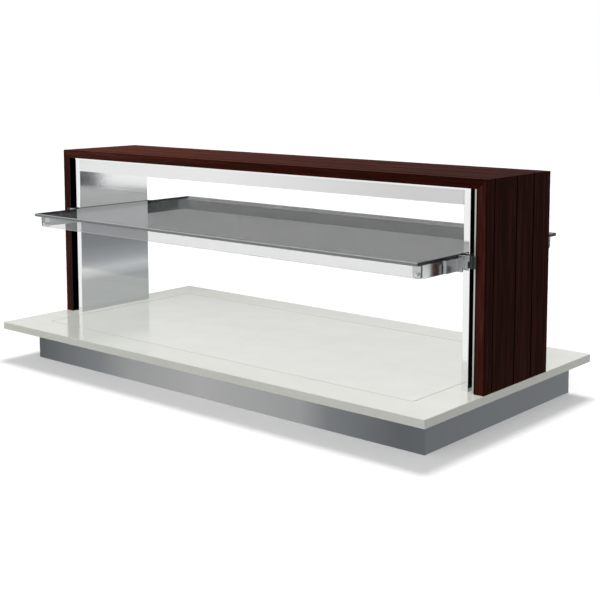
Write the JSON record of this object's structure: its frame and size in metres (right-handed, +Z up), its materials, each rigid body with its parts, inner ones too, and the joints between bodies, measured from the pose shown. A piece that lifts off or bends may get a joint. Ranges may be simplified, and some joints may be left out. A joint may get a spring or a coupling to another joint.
{
  "type": "refrigerated buffet island",
  "caption": "Drop-down buffet island: stone top with a flush cold plate, dark wooden portal with a lit beam, and a smoked glass shelf that slides in slots beside its steel columns.",
  "frame": {"origin": "on the floor plane, under the centre of the worktop", "axes": "+X along the length of the worktop, -Y to the side the picture looks from, +Z up"},
  "size_m": [1.5, 0.76, 0.6],
  "materials": {
    "brushed_stainless": "brushed stainless, bright",
    "wenge_veneer": "dark open-pored veneer, satin lacquer",
    "screw_steel": "plain stainless",
    "silicone_pad": "matt black",
    "black_plastic": "moulded polyamide",
    "engineered_stone": "polished, pale, with a fine fleck",
    "galvanised_sheet": "galvanised",
    "satin_stainless": "satin stainless",
    "cable_sheath": "PVC sheath",
    "copper_tube": "drawn copper tube",
    "clear_glass": "clear toughened glass",
    "rigid_foam": "poured polyurethane foam",
    "white_plastic": "moulded polycarbonate",
    "led_strip": "LED strip on an aluminium carrier",
    "polished_stainless": "mirror polished stainless",
    "aluminium": "mill finish",
    "slide_plastic": "machined acetal",
    "opal_acrylic": "opal acrylic",
    "anodised_aluminium": "silver anodised",
    "brass": "turned brass",
    "silicone": "matt grey seam",
    "smoked_glass": "grey tinted toughened glass, edge ground and polished",
    "zinc_plated_steel": "zinc plated",
    "grey_plastic": "moulded ABS"
  },
  "bodies": {
    "island": {"base_skirt": "brushed_stainless", "beam_panel": "wenge_veneer", "cable_gland": "black_plastic", "cold_plate": "engineered_stone", "cross_members": "galvanised_sheet", "crosshead": "satin_stainless", "driver_lead": "cable_sheath", "evaporator_coil": "copper_tube", "floor_pan": "galvanised_sheet", "front_rail": "galvanised_sheet", "insulation": "rigid_foam", "led_driver": "white_plastic", "led_strips": "led_strip", "left_column": "brushed_stainless", "left_leg_panel": "wenge_veneer", "left_slide_plate": "satin_stainless", "leg_screws": "screw_steel", "light_diffuser": "opal_acrylic", "light_housing": "anodised_aluminium", "lighting_cable": "cable_sheath", "panel_screws": "screw_steel", "pipe_unions": "brass", "probe_lead": "cable_sheath", "rear_rail": "galvanised_sheet", "right_column": "brushed_stainless", "right_leg_panel": "wenge_veneer", "right_slide_plate": "satin_stainless", "seam_seal": "silicone", "slot_spacers": "aluminium", "spreader_plate": "aluminium", "support_plate": "zinc_plated_steel", "temperature_probe": "satin_stainless", "terminal_block": "white_plastic", "terminal_box": "grey_plastic", "terminal_cover": "grey_plastic", "tie_nuts": "screw_steel", "tie_rods": "screw_steel", "travel_stops": "aluminium", "tray_screws": "screw_steel", "well_tray": "satin_stainless", "worktop": "engineered_stone"},
    "shelf": {"bracket_screws": "screw_steel", "brake_pads": "silicone_pad", "clamp_screws": "screw_steel", "front_lip": "clear_glass", "left_arm": "polished_stainless", "left_carriage_bar": "aluminium", "left_front_bracket": "polished_stainless", "left_front_shoe": "slide_plastic", "left_rear_bracket": "polished_stainless", "left_rear_shoe": "slide_plastic", "lip_screws": "screw_steel", "rear_lip": "clear_glass", "right_arm": "polished_stainless", "right_carriage_bar": "aluminium", "right_front_bracket": "polished_stainless", "right_front_shoe": "slide_plastic", "right_rear_bracket": "polished_stainless", "right_rear_shoe": "slide_plastic", "shelf_glass": "smoked_glass"}
  },
  "joints": [
    {"name": "shelf_height", "type": "slide", "parent": "island", "child": "shelf", "axis": [0, 0, 1], "range_m": [-0.14, 0.1]}
  ]
}
